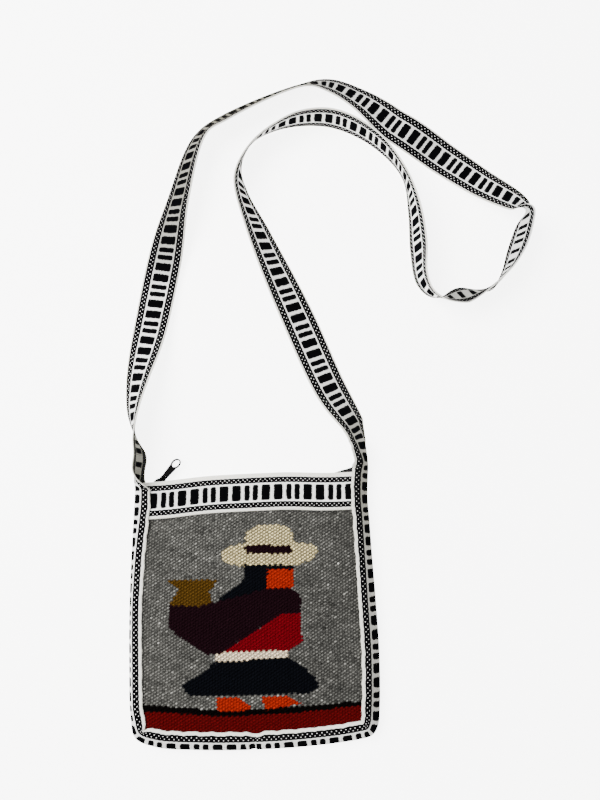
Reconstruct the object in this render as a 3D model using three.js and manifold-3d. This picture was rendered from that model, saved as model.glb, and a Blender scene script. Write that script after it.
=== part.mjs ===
// Woven wool crossbody bag, lying on its back with the strap laid out beside it.
// Millimetres, +Z up, +Y towards the zip, +X to the right of the bag's front.
// The origin is under the middle of the bag, on the surface that it lies on.

import * as THREE from 'three';
import { mergeVertices } from 'three/addons/utils/BufferGeometryUtils.js';
import Module from 'manifold-3d';

const wasm = await Module();
wasm.setup();

// Driving sizes

const bandWidth = 32;          // woven band of gusset, strap and top trim
const bandThick = 1.4;
const gussetRadius = 5.35;     // round of the gusset's middle, at mid thickness
const panelThick = 1.7;        // wool tapestry panels
const panelInset = 5.6;        // panel edge in from the gusset's outermost line
const tapeThick = 1.0;         // zip tape
const gap = 0.3;               // between pieces that touch
const topBandVisible = 31.5;   // the band's upper selvage is turned in a little at the zip

const arcLength = Math.PI * gussetRadius;
const lapLevel = 2 * gussetRadius;              // underside of the gusset's front lap
const lapWidth = (bandWidth - arcLength) / 2;
const lapReach = gussetRadius + lapWidth;       // from the outermost line to the lap's inner edge
const overBand = bandThick + gap;               // one more layer of band

// The band's route: one closed loop of strap and gusset.
// x, y: middle of the band. roll: turn of its width about the route, 0 flat, 90 on edge.
// open: 0 wrapped round the bag as a C, 1 a flat ribbon. slide: how far the band is moved round the C, to the front.

const strapRows = [
  { x: -98.4, y: 126.5, roll: 98, open: 0.85 },
  { x: -101.6, y: 141.5, roll: 84 },
  { x: -106.1, y: 163.3, roll: 62 },
  { x: -104.1, y: 190.0, roll: 43 },
  { x: -95.5, y: 237.9, roll: 15 },
  { x: -85.1, y: 299.1, roll: 9 },
  { x: -73.6, y: 353.6, roll: 40 },
  { x: -53.8, y: 417.4, roll: 55 },
  { x: -31.4, y: 435.0, roll: 53.5 },
  { x: 37.0, y: 465.8, roll: 57.5 },
  { x: 62.8, y: 468.2, roll: 41 },
  { x: 92.4, y: 455.6, roll: 27 },
  { x: 134.1, y: 426.7, roll: -4 },
  { x: 200.7, y: 376.4, roll: 19 },
  { x: 236.4, y: 351.2, roll: 62 },
  { x: 239.2, y: 342.1, roll: 78 },
  { x: 236.0, y: 330.1, roll: 106 },
  { x: 229.0, y: 309.7, roll: 107 },
  { x: 220.1, y: 290.2, roll: 95 },
  { x: 208.1, y: 275.6, roll: 90 },
  { x: 194.0, y: 270.4, roll: 112 },
  { x: 180.4, y: 267.5, roll: 130 },
  { x: 164.9, y: 264.1, roll: 112 },
  { x: 152.6, y: 268.3, roll: 96 },
  { x: 144.2, y: 282.0, roll: 81 },
  { x: 141.9, y: 312.5, roll: 71 },
  { x: 138.6, y: 347.7, roll: 80 },
  { x: 129.5, y: 381.8, roll: 95 },
  { x: 104.8, y: 412.5, roll: 90 },
  { x: 68.8, y: 431.9, roll: 87 },
  { x: 37.0, y: 432.4, roll: 93 },
  { x: 11.6, y: 423.3, roll: 105 },
  { x: -4.6, y: 411.8, roll: 109 },
  { x: -15.2, y: 392.3, roll: 98 },
  { x: -16.3, y: 368.7, roll: 72 },
  { x: -0.5, y: 327.5, roll: 49 },
  { x: 35.2, y: 248.4, roll: 21 },
  { x: 64.0, y: 183.6, roll: 25 },
  { x: 82.4, y: 153.3, roll: 46 },
];

const gussetRows = [
  { x: 90.7, y: 139.5, roll: 64, open: 0.83, slide: 4.5 },
  { x: 93.6, y: 126.5, roll: 82, open: 0.42 },
  { x: 94.9, y: 116.5, roll: 90, open: 0 },
  { x: 94.7, y: 112.5, roll: 90, open: 0 },
  { x: 93.9, y: 92, roll: 90, open: 0 },
  { x: 95.3, y: 72, roll: 90, open: 0 },
  { x: 97.0, y: 45, roll: 90, open: 0 },
  { x: 99.8, y: 5, roll: 90, open: 0 },
  { x: 102.1, y: -40, roll: 90, open: 0 },
  { x: 101.7, y: -80, roll: 90, open: 0 },
  { x: 100.2, y: -93.5, roll: 90, open: 0 },
  { x: 95.8, y: -100.6, roll: 90, open: 0 },
  { x: 85.0, y: -103.9, roll: 90, open: 0 },
  { x: 45, y: -109.1, roll: 90, open: 0 },
  { x: 0, y: -111.9, roll: 90, open: 0 },
  { x: -45, y: -112.2, roll: 90, open: 0 },
  { x: -80, y: -109.9, roll: 90, open: 0 },
  { x: -95.8, y: -102.3, roll: 90, open: 0 },
  { x: -100.9, y: -86, roll: 90, open: 0 },
  { x: -103.4, y: -43, roll: 90, open: 0 },
  { x: -104.6, y: 0, roll: 90, open: 0 },
  { x: -104.3, y: 45, roll: 90, open: 0 },
  { x: -103.2, y: 90, roll: 90, open: 0 },
  { x: -103.2, y: 104.5, roll: 90, open: 0 },
  { x: -103.0, y: 108.5, roll: 90, open: 0 },
  { x: -101.4, y: 114, roll: 93, open: 0.45 },
  { x: -99.3, y: 119.5, roll: 96, open: 0.82 },
];

const bandRows = [...strapRows, ...gussetRows].map((row) => ({ open: 1, slide: 0, ...row }));
const rowCount = bandRows.length;
const leftSeam = 0;
const rightSeam = strapRows.length - 1;

// Height of the bag's front, over its length: in the middle and along its sides.

const frontRows = [
  { y: -113, mid: 10.3, side: 10.3 },
  { y: -97, mid: 10.3, side: 10.3 },
  { y: -70, mid: 12.5, side: 10.3 },
  { y: -20, mid: 14.4, side: 10.3 },
  { y: 35, mid: 14.5, side: 10.3 },
  { y: 56, mid: 14.1, side: 10.2 },
  { y: 74, mid: 13.1, side: 8.65 },
  { y: 91, mid: 11.7, side: 8.6 },
  { y: 112, mid: 7.7, side: 8.2 },
];

// The top band's two edges run a little uphill to the right, and are bowed up left of the middle.

const topSlope = 0.0484;
const topEdgeMiddle = 106.9;
const topBow = { rise: 2.0, at: -30, half: 32 };
const topBandDrop = 0.965;     // plan width of the band over its true width, because it slopes down to the zip
const panelUnderBand = 7;

const topEdge = (x) => topEdgeMiddle + topSlope * x
  + topBow.rise * Math.exp(-(((x - topBow.at) / topBow.half) ** 2));
const bandLowEdge = (x) => topEdge(x) - topBandVisible * topBandDrop;

// Small helpers

const clamp = THREE.MathUtils.clamp;
const smooth = (value, low, high) => THREE.MathUtils.smoothstep(value, low, high);

// A value of a table's column at y, on a smooth line through its rows.
function alongTable(rows, y, column) {
  const last = rows.length - 1;
  const at = clamp(rows.findIndex((row) => row.y > y), 1, last);
  const i = y >= rows[last].y ? last : at;
  const low = rows[i - 1];
  const high = rows[i];
  const slope = (k) => {
    const before = rows[Math.max(k - 1, 0)];
    const after = rows[Math.min(k + 1, last)];
    return (after[column] - before[column]) / (after.y - before.y);
  };
  const span = high.y - low.y;
  const t = clamp((y - low.y) / span, 0, 1);
  const rise = t * t * (3 - 2 * t);
  const bend = slope(i - 1) * t * (1 - t) ** 2 - slope(i) * t * t * (1 - t);
  return low[column] + (high[column] - low[column]) * rise + bend * span;
}

// A closed body from points and triangles, with its faces turned outwards.
function closedBody(points, faces) {
  let volume = 0;
  const cross = new THREE.Vector3();
  for (const [a, b, c] of faces) {
    volume += cross.crossVectors(points[b], points[c]).dot(points[a]);
  }
  const geometry = new THREE.BufferGeometry();
  geometry.setFromPoints(points);
  geometry.setIndex(faces.flatMap(([a, b, c]) => (volume > 0 ? [a, b, c] : [a, c, b])));
  geometry.computeVertexNormals();
  return geometry;
}

// A sheet of cloth: a grid of points on each face, joined round its rim.
function sheetBody(upper, lower) {
  const rows = upper.length;
  const columns = upper[0].length;
  const points = [...upper.flat(), ...lower.flat()];
  const top = (i, j) => i * columns + j;
  const under = (i, j) => rows * columns + i * columns + j;
  const faces = [];
  const quad = (a, b, c, d) => faces.push([a, b, c], [a, c, d]);
  for (let i = 0; i < rows - 1; i += 1) {
    for (let j = 0; j < columns - 1; j += 1) {
      quad(top(i, j), top(i + 1, j), top(i + 1, j + 1), top(i, j + 1));
      quad(under(i, j), under(i, j + 1), under(i + 1, j + 1), under(i + 1, j));
    }
    quad(top(i, 0), under(i, 0), under(i + 1, 0), top(i + 1, 0));
    quad(top(i, columns - 1), top(i + 1, columns - 1), under(i + 1, columns - 1), under(i, columns - 1));
  }
  for (let j = 0; j < columns - 1; j += 1) {
    quad(top(0, j), top(0, j + 1), under(0, j + 1), under(0, j));
    quad(top(rows - 1, j), under(rows - 1, j), under(rows - 1, j + 1), top(rows - 1, j + 1));
  }
  return closedBody(points, faces);
}

// A panel of cloth: rings from its outline in to one middle point, on each face.
function panelBody(rings, middle, upperAt, lowerAt) {
  const count = rings[0].length;
  const raised = (place, heightAt, k) => new THREE.Vector3(place.x, place.y, heightAt(place.x, place.y, k));
  const face = (heightAt) => [
    ...rings.flatMap((ring, k) => ring.map((place) => raised(place, heightAt, k))),
    raised(middle, heightAt, rings.length),
  ];
  const upper = face(upperAt);
  const faces = [];
  const offset = upper.length;
  for (let i = 0; i < count; i += 1) {
    const next = (i + 1) % count;
    for (let k = 0; k < rings.length - 1; k += 1) {
      const [a, b, c, d] = [k * count + i, k * count + next, (k + 1) * count + next, (k + 1) * count + i];
      faces.push([a, b, c], [a, c, d]);
      faces.push([offset + a, offset + c, offset + b], [offset + a, offset + d, offset + c]);
    }
    const inner = (rings.length - 1) * count;
    faces.push([inner + i, inner + next, offset - 1]);
    faces.push([offset + inner + i, 2 * offset - 1, offset + inner + next]);
    faces.push([i, offset + i, offset + next], [i, offset + next, next]);
  }
  return closedBody([...upper, ...face(lowerAt)], faces);
}

const asSolid = (geometry) => {
  const bare = geometry.clone();
  bare.deleteAttribute('normal');
  bare.deleteAttribute('uv');
  const merged = mergeVertices(bare, 1e-3);
  const mesh = new wasm.Mesh({
    numProp: 3,
    vertProperties: Float32Array.from(merged.attributes.position.array),
    triVerts: Uint32Array.from(merged.index.array),
  });
  return new wasm.Manifold(mesh);
};

const joined = (...geometries) => {
  const mesh = geometries.map(asSolid).reduce((sum, solid) => sum.add(solid)).getMesh();
  const geometry = new THREE.BufferGeometry();
  geometry.setAttribute('position', new THREE.BufferAttribute(Float32Array.from(mesh.vertProperties), 3));
  geometry.setIndex(Array.from(mesh.triVerts));
  geometry.computeVertexNormals();
  return geometry;
};

// The band's route and section

const loop = new THREE.CatmullRomCurve3(
  bandRows.map((row) => new THREE.Vector3(row.x, row.y, 0)),
  true,
  'centripetal',
);
const turns = new THREE.CatmullRomCurve3(
  bandRows.map((row) => new THREE.Vector3(row.roll, row.open, row.slide)),
  true,
  'catmullrom',
);

// Place on the route at a row number with a fraction, with the direction to its right, which is into the bag.
function routeAt(row) {
  const t = (row / rowCount) % 1;
  const along = loop.getTangent(t);
  const turn = turns.getPoint(t);
  return {
    point: loop.getPoint(t),
    inward: new THREE.Vector3(along.y, -along.x, 0),
    roll: THREE.MathUtils.degToRad(turn.x),
    open: clamp(turn.y, 0, 1),
    slide: turn.z,
  };
}

// Row numbers at even steps of length between two rows.
function evenRows(from, to, steps, trim) {
  const fine = 30;
  const samples = Array.from({ length: (to - from) * fine + 1 }, (_, i) => from + i / fine);
  const run = [0];
  for (let i = 1; i < samples.length; i += 1) {
    run.push(run[i - 1] + routeAt(samples[i]).point.distanceTo(routeAt(samples[i - 1]).point));
  }
  const length = run[run.length - 1] - 2 * trim;
  return Array.from({ length: steps + 1 }, (_, k) => {
    const target = trim + (length * k) / steps;
    const i = clamp(run.findIndex((value) => value >= target), 1, run.length - 1);
    const share = (target - run[i - 1]) / (run[i] - run[i - 1]);
    return THREE.MathUtils.lerp(samples[i - 1], samples[i], share);
  });
}

// The band's section at one place: its lowest point is on the surface that the bag lies on.
function bandSection(columns, roll, open) {
  const turn = Math.PI * (1 - open);
  const angleAt = (s) => roll - turn * clamp(s / arcLength, -0.5, 0.5);
  const section = columns.map((s) => {
    const bend = clamp(s, -arcLength / 2, arcLength / 2);
    const halfTurn = (turn * bend) / (2 * arcLength);
    const chord = halfTurn === 0 ? bend : (bend * Math.sin(halfTurn)) / halfTurn;
    const angle = angleAt(s);
    return {
      inward: Math.cos(roll - halfTurn) * chord + Math.cos(angle) * (s - bend),
      up: Math.sin(roll - halfTurn) * chord + Math.sin(angle) * (s - bend),
      angle,
    };
  });
  const lowest = Math.min(...section.map(({ up, angle }) => up - (Math.abs(Math.cos(angle)) * bandThick) / 2));
  return section.map((place) => ({ ...place, up: place.up - lowest }));
}

// One stretch of band, swept along the route through a section at each row.
function bandBody(rows, columns) {
  const faces = [0.5, -0.5].map((side) => rows.map((row) => {
    const { point, inward, roll, open, slide } = routeAt(row);
    return bandSection(columns.map((s) => s + slide), roll, open).map((place) => {
      const away = side * bandThick;
      const across = place.inward - Math.sin(place.angle) * away;
      const height = place.up + Math.cos(place.angle) * away;
      return point.clone().addScaledVector(inward, across).setZ(Math.max(height, 0));
    });
  }));
  return sheetBody(faces[0], faces[1]);
}

const half = bandWidth / 2;
const flatColumns = [-half, -half / 3, half / 3, half];
const wrapSteps = 8;
const wrapColumns = [
  -half,
  ...Array.from({ length: wrapSteps + 1 }, (_, k) => arcLength * (k / wrapSteps - 0.5)),
  half,
];

// Heights of the front and back of the bag

const sideMiddle = (y) => -2 - 0.026 * y;
const sideReach = 101.5 - lapReach;            // from the middle to the inner edge of the side laps
const acrossShare = (x, y) => Math.min(Math.abs(x - sideMiddle(y)) / sideReach, 1);

// Outer face of the front panel, and of what the top band lies on.
function frontLevel(x, y) {
  const along = y - topSlope * x;
  const side = alongTable(frontRows, along, 'side');
  const mid = alongTable(frontRows, along, 'mid');
  return side + (mid - side) * (1 - acrossShare(x, y) ** 2.4);
}

// How far a piece at the back is lifted where it lies on the gusset's back lap.
const bottomLap = 112 - lapReach;
const lapLift = (x, y, from = 0.885, to = 0.95) => overBand
  * Math.max(smooth(acrossShare(x, y), from, to), smooth(-y, bottomLap - 9, bottomLap - 1));

// Rings of a panel: its outline under the laps, one just clear of all that covers it, then smaller ones.
const clearOfLap = lapReach + 0.6;
const panelMiddle = new THREE.Vector3(-2, -12, 0);
const panelShares = [0.06, 0.16, 0.32, 0.55, 0.78];

function panelRing(inset, above) {
  const edge = (row) => {
    const { point, inward } = routeAt(row);
    return point.addScaledVector(inward, inset);
  };
  const overTop = (row) => {
    const place = edge(row);
    return place.y - bandLowEdge(place.x) - above;
  };
  const crossing = (low, high) => {
    let [from, to] = [low, high];
    for (let k = 0; k < 30; k += 1) {
      const middle = (from + to) / 2;
      [from, to] = overTop(middle) * overTop(from) > 0 ? [middle, to] : [from, middle];
    }
    return (from + to) / 2;
  };
  const rightTop = crossing(rightSeam + 3, rightSeam + 6);
  const leftTop = crossing(rowCount - 6, rowCount - 3);
  const round = 44;
  const across = 14;
  const sides = Array.from({ length: round + 1 }, (_, i) => (
    edge(THREE.MathUtils.lerp(rightTop, leftTop, i / round))));
  const top = Array.from({ length: across - 1 }, (_, i) => (
    sides[round].clone().lerp(sides[0], (i + 1) / across)));
  return [...sides, ...top];
}

function panelRings() {
  const clear = panelRing(clearOfLap, -1.5);
  const smaller = panelShares.map((share) => clear.map((place) => place.clone().lerp(panelMiddle, share)));
  return [panelRing(panelInset, panelUnderBand), clear, ...smaller];
}

const underBandTuck = 0.65;

function frontPanel() {
  const level = (x, y, k) => frontLevel(x, y)
    - (k === 0 ? underBandTuck * smooth(y - bandLowEdge(x), -16, 0) : 0);
  return panelBody(panelRings(), panelMiddle, level, (x, y, k) => level(x, y, k) - panelThick);
}

function backPanel() {
  const overTopBand = (x, y) => overBand * smooth(y - bandLowEdge(x), -30, -18);
  const overLap = (x, y) => (y < 40 ? overBand : lapLift(x, y, 0.74, 0.82));
  const level = (x, y, k) => (k < 2 ? overLap(x, y) + overTopBand(x, y) + gap / 3 : 0);
  return panelBody(panelRings(), panelMiddle, (x, y, k) => level(x, y, k) + panelThick, level);
}

// Top bands, from under one side lap to under the other

const topBandEnds = { left: -96, right: 87.5 };
const topBandSteps = 30;
const topBandColumns = 5;

function topBand(lowerAt, width) {
  const grid = (lift) => Array.from({ length: topBandSteps + 1 }, (_, i) => {
    const x = THREE.MathUtils.lerp(topBandEnds.left, topBandEnds.right, i / topBandSteps);
    return Array.from({ length: topBandColumns + 1 }, (_unused, j) => {
      const y = topEdge(x) - width * (1 - j / topBandColumns);
      return new THREE.Vector3(x, y, lowerAt(x, y) + lift);
    });
  });
  return sheetBody(grid(bandThick), grid(0));
}

// Zip: two tapes that turn in to the chain, behind the top bands' edges

const zipEnds = {
  frontTape: { left: -85.5, right: 86 },
  backTape: { left: -78.5, right: 74 },
  chain: { left: -81.5, right: 76 },
};
const zipSteps = 26;
const chain = { level: 4.8, halfHeight: 1.6, halfDepth: 1.0 };
const zipBehindEdge = 1.6;
const zipEndTurn = { from: 66, to: 86, out: 6.5 };    // the zip's right end stands out past the band
const tapeUnderBand = 9;

const zipLine = (x) => topEdge(x) - zipBehindEdge + zipEndTurn.out * smooth(x, zipEndTurn.from, zipEndTurn.to);

// A zip tape's middle line: flat under its band, then turned towards the chain.
function tapeBody(ends, flatAt, chainSide) {
  const bend = 1.6;
  const lineAt = (x) => {
    const y = zipLine(x);
    const sewn = topEdge(x) - tapeUnderBand;
    const level = flatAt(x, topEdge(x));
    const tip = chain.level + chainSide * (chain.halfHeight + gap);
    return [
      [sewn, flatAt(x, sewn)],
      [(sewn + y) / 2, flatAt(x, (sewn + y) / 2)],
      [y - bend, level],
      [y - bend * 0.3, THREE.MathUtils.lerp(level, tip, 0.3)],
      [y, tip],
    ];
  };
  const face = (side) => Array.from({ length: zipSteps + 1 }, (_, i) => {
    const x = THREE.MathUtils.lerp(ends.left, ends.right, i / zipSteps);
    const line = lineAt(x);
    return line.map(([y, z], j) => {
      const before = line[Math.max(j - 1, 0)];
      const after = line[Math.min(j + 1, line.length - 1)];
      const along = new THREE.Vector2(after[0] - before[0], after[1] - before[1]).normalize();
      if (j === line.length - 1) along.set(0, -chainSide);
      const away = (side * tapeThick) / 2;
      return new THREE.Vector3(x, y - along.y * away, z + along.x * away);
    });
  });
  return sheetBody(face(1), face(-1));
}

const frontTapeLevel = (x, y) => frontLevel(x, y) - tapeThick / 2 - gap / 3;
const backTapeLevel = (x, y) => lapLift(x, y) + overBand + tapeThick / 2 + gap / 3;

function chainBody() {
  const sides = 8;
  const ring = (x) => Array.from({ length: sides }, (_, k) => {
    const angle = ((k + 0.5) / sides) * 2 * Math.PI;
    const reach = 1 / Math.cos(Math.PI / sides);
    return new THREE.Vector3(
      x,
      zipLine(x) + chain.halfDepth * reach * Math.cos(angle),
      chain.level + chain.halfHeight * reach * Math.sin(angle),
    );
  });
  const rings = Array.from({ length: zipSteps + 1 }, (_, i) => (
    ring(THREE.MathUtils.lerp(zipEnds.chain.left, zipEnds.chain.right, i / zipSteps))));
  const points = rings.flat();
  const faces = [];
  for (let k = 0; k < sides; k += 1) {
    const next = (k + 1) % sides;
    for (let i = 0; i < zipSteps; i += 1) {
      const [a, b] = [i * sides + k, i * sides + next];
      faces.push([a, a + sides, b + sides], [a, b + sides, b]);
    }
    if (k > 0 && next > 0) {
      const end = zipSteps * sides;
      faces.push([0, k, next], [end, end + next, end + k]);
    }
  }
  return closedBody(points, faces);
}

// Slider and pull. The pull's crossbar lies along the hinge, through the slider's staple.

const slider = { x: -80.5, length: 9, faceFrom: 1.6, plate: 1.2, outerPlate: 1.4, outerHeight: 6.4, innerHeight: 3.4,
  corner: 1.6 };
const hinge = new THREE.Vector3(-80.3, topEdge(-80.3) + 3.6, 6.4);
const pullHeading = THREE.MathUtils.degToRad(52);   // in plan, from +X
const pullDip = THREE.MathUtils.degToRad(-9.8);     // its ring end comes down to the surface
const pullTurn = THREE.MathUtils.degToRad(34);      // about its own length, off flat
const pull = { thick: 1.3, bar: 1.2, barHalf: 2.5, windowHalf: 1.1, windowEnd: 3.1, neckHalf: 3.8, ringAt: 16.9,
  ringRadius: 4.7, holeRadius: 3.75 };
const staple = { radius: 2.0, wire: 0.7 };

const alongPull = new THREE.Vector3(
  Math.cos(pullHeading) * Math.cos(pullDip),
  Math.sin(pullHeading) * Math.cos(pullDip),
  Math.sin(pullDip),
);
const levelBar = new THREE.Vector3(Math.sin(pullHeading), -Math.cos(pullHeading), 0);
const alongHinge = levelBar.clone().applyAxisAngle(alongPull, -pullTurn);

function roundedPlate(width, height, corner, depth) {
  const [w, h] = [width / 2, height / 2];
  const shape = new THREE.Shape();
  shape.moveTo(-w + corner, -h);
  shape.lineTo(w - corner, -h);
  shape.absarc(w - corner, -h + corner, corner, -Math.PI / 2, 0);
  shape.absarc(w - corner, h - corner, corner, 0, Math.PI / 2);
  shape.absarc(-w + corner, h - corner, corner, Math.PI / 2, Math.PI);
  shape.absarc(-w + corner, -h + corner, corner, Math.PI, 1.5 * Math.PI);
  const geometry = new THREE.ExtrudeGeometry(shape, { depth, bevelEnabled: false, curveSegments: 4 });
  return geometry.rotateX(Math.PI / 2);        // its depth now runs along -Y
}

function sliderBody() {
  const line = zipLine(slider.x);
  const outer = roundedPlate(slider.length, slider.outerHeight, slider.corner, slider.outerPlate);
  outer.translate(slider.x, line + slider.faceFrom + slider.outerPlate, chain.level + 0.1);
  const inner = roundedPlate(slider.length, slider.innerHeight, slider.corner, slider.plate);
  inner.translate(slider.x, line - slider.faceFrom, chain.level);
  const neck = new THREE.BoxGeometry(2, 2 * slider.faceFrom + slider.plate, 2.6);
  neck.translate(slider.x - slider.length / 2 + 1.6, line, chain.level);
  const outwards = new THREE.Vector3(0, 1, 0).addScaledVector(alongHinge, -alongHinge.y).normalize();
  const sideways = new THREE.Vector3().crossVectors(alongHinge, outwards);
  const legLength = (hinge.y - line - slider.faceFrom - slider.outerPlate * 0.6) / outwards.y;
  const bends = 8;
  const path = [
    hinge.clone().addScaledVector(sideways, staple.radius).addScaledVector(outwards, -legLength),
    ...Array.from({ length: bends + 1 }, (_, k) => hinge.clone()
      .addScaledVector(sideways, staple.radius * Math.cos((Math.PI * k) / bends))
      .addScaledVector(outwards, staple.radius * Math.sin((Math.PI * k) / bends))),
    hinge.clone().addScaledVector(sideways, -staple.radius).addScaledVector(outwards, -legLength),
  ];
  const round = new THREE.Shape().absarc(0, 0, staple.wire, 0, 2 * Math.PI);
  const wire = new THREE.ExtrudeGeometry(round, {
    steps: 18,
    curveSegments: 4,
    extrudePath: new THREE.CatmullRomCurve3(path, false, 'centripetal'),
  });
  return joined(outer, inner, neck, wire);
}

function pullBody() {
  const shape = new THREE.Shape();
  const joinAngle = Math.PI - Math.asin(pull.neckHalf / pull.ringRadius);
  const joinAt = pull.ringAt + pull.ringRadius * Math.cos(joinAngle);
  shape.moveTo(-pull.bar / 2, -pull.barHalf);
  shape.lineTo(joinAt, -pull.neckHalf);
  shape.absarc(pull.ringAt, 0, pull.ringRadius, -joinAngle, joinAngle);
  shape.lineTo(-pull.bar / 2, pull.barHalf);
  shape.closePath();
  const window = new THREE.Path();
  window.moveTo(pull.bar / 2, -pull.windowHalf);
  window.lineTo(pull.bar / 2, pull.windowHalf);
  window.lineTo(pull.windowEnd, pull.windowHalf);
  window.lineTo(pull.windowEnd, -pull.windowHalf);
  window.closePath();
  const ring = new THREE.Path().absarc(pull.ringAt, 0, pull.holeRadius, 0, 2 * Math.PI, true);
  shape.holes.push(window, ring);
  const geometry = new THREE.ExtrudeGeometry(shape, { depth: pull.thick, bevelEnabled: false, curveSegments: 20 });
  geometry.translate(0, 0, -pull.thick / 2);
  const face = new THREE.Vector3().crossVectors(alongPull, alongHinge);
  geometry.applyMatrix4(new THREE.Matrix4().makeBasis(alongPull, alongHinge, face).setPosition(hinge));
  return geometry;
}

// Assembly

const strapSteps = 80;
const gussetSteps = 74;
const finish = {
  wool: { color: 0x77756f, roughness: 0.95, metalness: 0 },
  band: { color: 0xd8d6d0, roughness: 0.9, metalness: 0 },
  tape: { color: 0x141416, roughness: 0.85, metalness: 0 },
  metal: { color: 0x1b1b1e, roughness: 0.4, metalness: 0.8 },
};

const bag = new THREE.Group();

function addPiece(name, geometry, look) {
  const mesh = new THREE.Mesh(geometry, new THREE.MeshStandardMaterial(look));
  mesh.name = name;
  bag.add(mesh);
}

const topBandPlan = topBandVisible * topBandDrop;
addPiece('front_panel', frontPanel(), finish.wool);
addPiece('back_panel', backPanel(), finish.wool);
addPiece('front_top_band', topBand((x, y) => frontLevel(x, y) + gap, topBandPlan), finish.band);
addPiece('back_top_band', topBand((x, y) => lapLift(x, y), topBandPlan), finish.band);
addPiece('gusset_band', bandBody(evenRows(rightSeam, rowCount, gussetSteps, gap / 2), wrapColumns), finish.band);
addPiece('strap', bandBody(evenRows(leftSeam, rightSeam, strapSteps, gap / 2), flatColumns), finish.band);
addPiece('zip_tape_front', tapeBody(zipEnds.frontTape, frontTapeLevel, 1), finish.tape);
addPiece('zip_tape_back', tapeBody(zipEnds.backTape, backTapeLevel, -1), finish.tape);
addPiece('zip_chain', chainBody(), finish.metal);
addPiece('zip_slider', sliderBody(), finish.metal);
addPiece('zip_pull', pullBody(), finish.metal);

export default bag;
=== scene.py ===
import math
from functools import reduce

import bpy
import numpy as np
from mathutils import Matrix


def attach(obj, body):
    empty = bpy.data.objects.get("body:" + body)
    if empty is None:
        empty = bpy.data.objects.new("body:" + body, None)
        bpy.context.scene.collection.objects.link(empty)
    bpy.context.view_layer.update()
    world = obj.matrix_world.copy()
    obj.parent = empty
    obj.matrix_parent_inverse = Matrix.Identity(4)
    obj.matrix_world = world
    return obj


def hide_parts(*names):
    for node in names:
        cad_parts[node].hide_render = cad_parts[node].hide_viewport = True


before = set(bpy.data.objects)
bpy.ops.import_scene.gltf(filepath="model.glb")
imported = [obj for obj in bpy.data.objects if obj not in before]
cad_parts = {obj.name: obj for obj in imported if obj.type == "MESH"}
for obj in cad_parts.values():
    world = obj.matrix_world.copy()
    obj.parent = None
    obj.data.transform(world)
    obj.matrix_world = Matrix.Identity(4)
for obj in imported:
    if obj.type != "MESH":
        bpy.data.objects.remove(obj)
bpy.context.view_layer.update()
mm = 0.001
rng = np.random.default_rng(41)


# Camera at the photo's angle, worked out for a 600 x 800 picture

photoCamera = {"place": (0.037, 0.065, 0.693), "tilt": 9.1, "lens": 36.0, "sensor": 36.0, "near": 0.01}

cameraData = bpy.data.cameras.new("photoCamera")
cameraData.lens = photoCamera["lens"]
cameraData.sensor_width = photoCamera["sensor"]
cameraData.clip_start = photoCamera["near"]
camera = bpy.data.objects.new("photoCamera", cameraData)
camera.location = photoCamera["place"]
camera.rotation_euler = (math.radians(photoCamera["tilt"]), 0, 0)
bpy.context.collection.objects.link(camera)
bpy.context.scene.camera = camera
print("camera set")


# Small tools

def linear(red, green, blue):  # a colour read on screen, as light
    def one(level):
        level = level / 255
        return level / 12.92 if level <= 0.04045 else ((level + 0.055) / 1.055) ** 2.4
    return (one(red), one(green), one(blue), 1.0)


def easeStep(value, low, high):
    t = np.clip((value - low) / (high - low), 0, 1)
    return t * t * (3 - 2 * t)


def unit(rows):
    return rows / np.linalg.norm(rows, axis=-1)[..., None]


def alongRun(run, rows):  # a value along a length, from rows of millimetres and value
    return np.interp(run / mm, *zip(*rows))


def addMesh(name, points, faces, material, uv=None, numbers=None, smooth=True, paint=None):
    mesh = bpy.data.meshes.new(name)
    mesh.from_pydata([tuple(p) for p in np.asarray(points, float)], [], [tuple(f) for f in faces])
    if uv is not None:
        layer = mesh.uv_layers.new(name="cloth")
        corner = np.empty(len(mesh.loops), dtype=np.int32)
        mesh.loops.foreach_get("vertex_index", corner)
        layer.data.foreach_set("uv", np.asarray(uv, np.float32)[corner].ravel())
    for key, values in (numbers or {}).items():
        field = mesh.attributes.new(key, "FLOAT", "POINT")
        field.data.foreach_set("value", np.asarray(values, np.float32).ravel())
    if paint is not None:
        field = mesh.attributes.new("tint", "FLOAT_COLOR", "POINT")
        field.data.foreach_set("color", np.asarray(paint, np.float32).ravel())
    mesh.polygons.foreach_set("use_smooth", [smooth] * len(mesh.polygons))
    mesh.materials.append(material)
    mesh.update()
    piece = bpy.data.objects.new(name, mesh)
    bpy.context.collection.objects.link(piece)
    return piece


def dress(piece, node, body="bag"):  # the piece stands for a node of the frame
    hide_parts(node)
    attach(piece, body)


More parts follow.
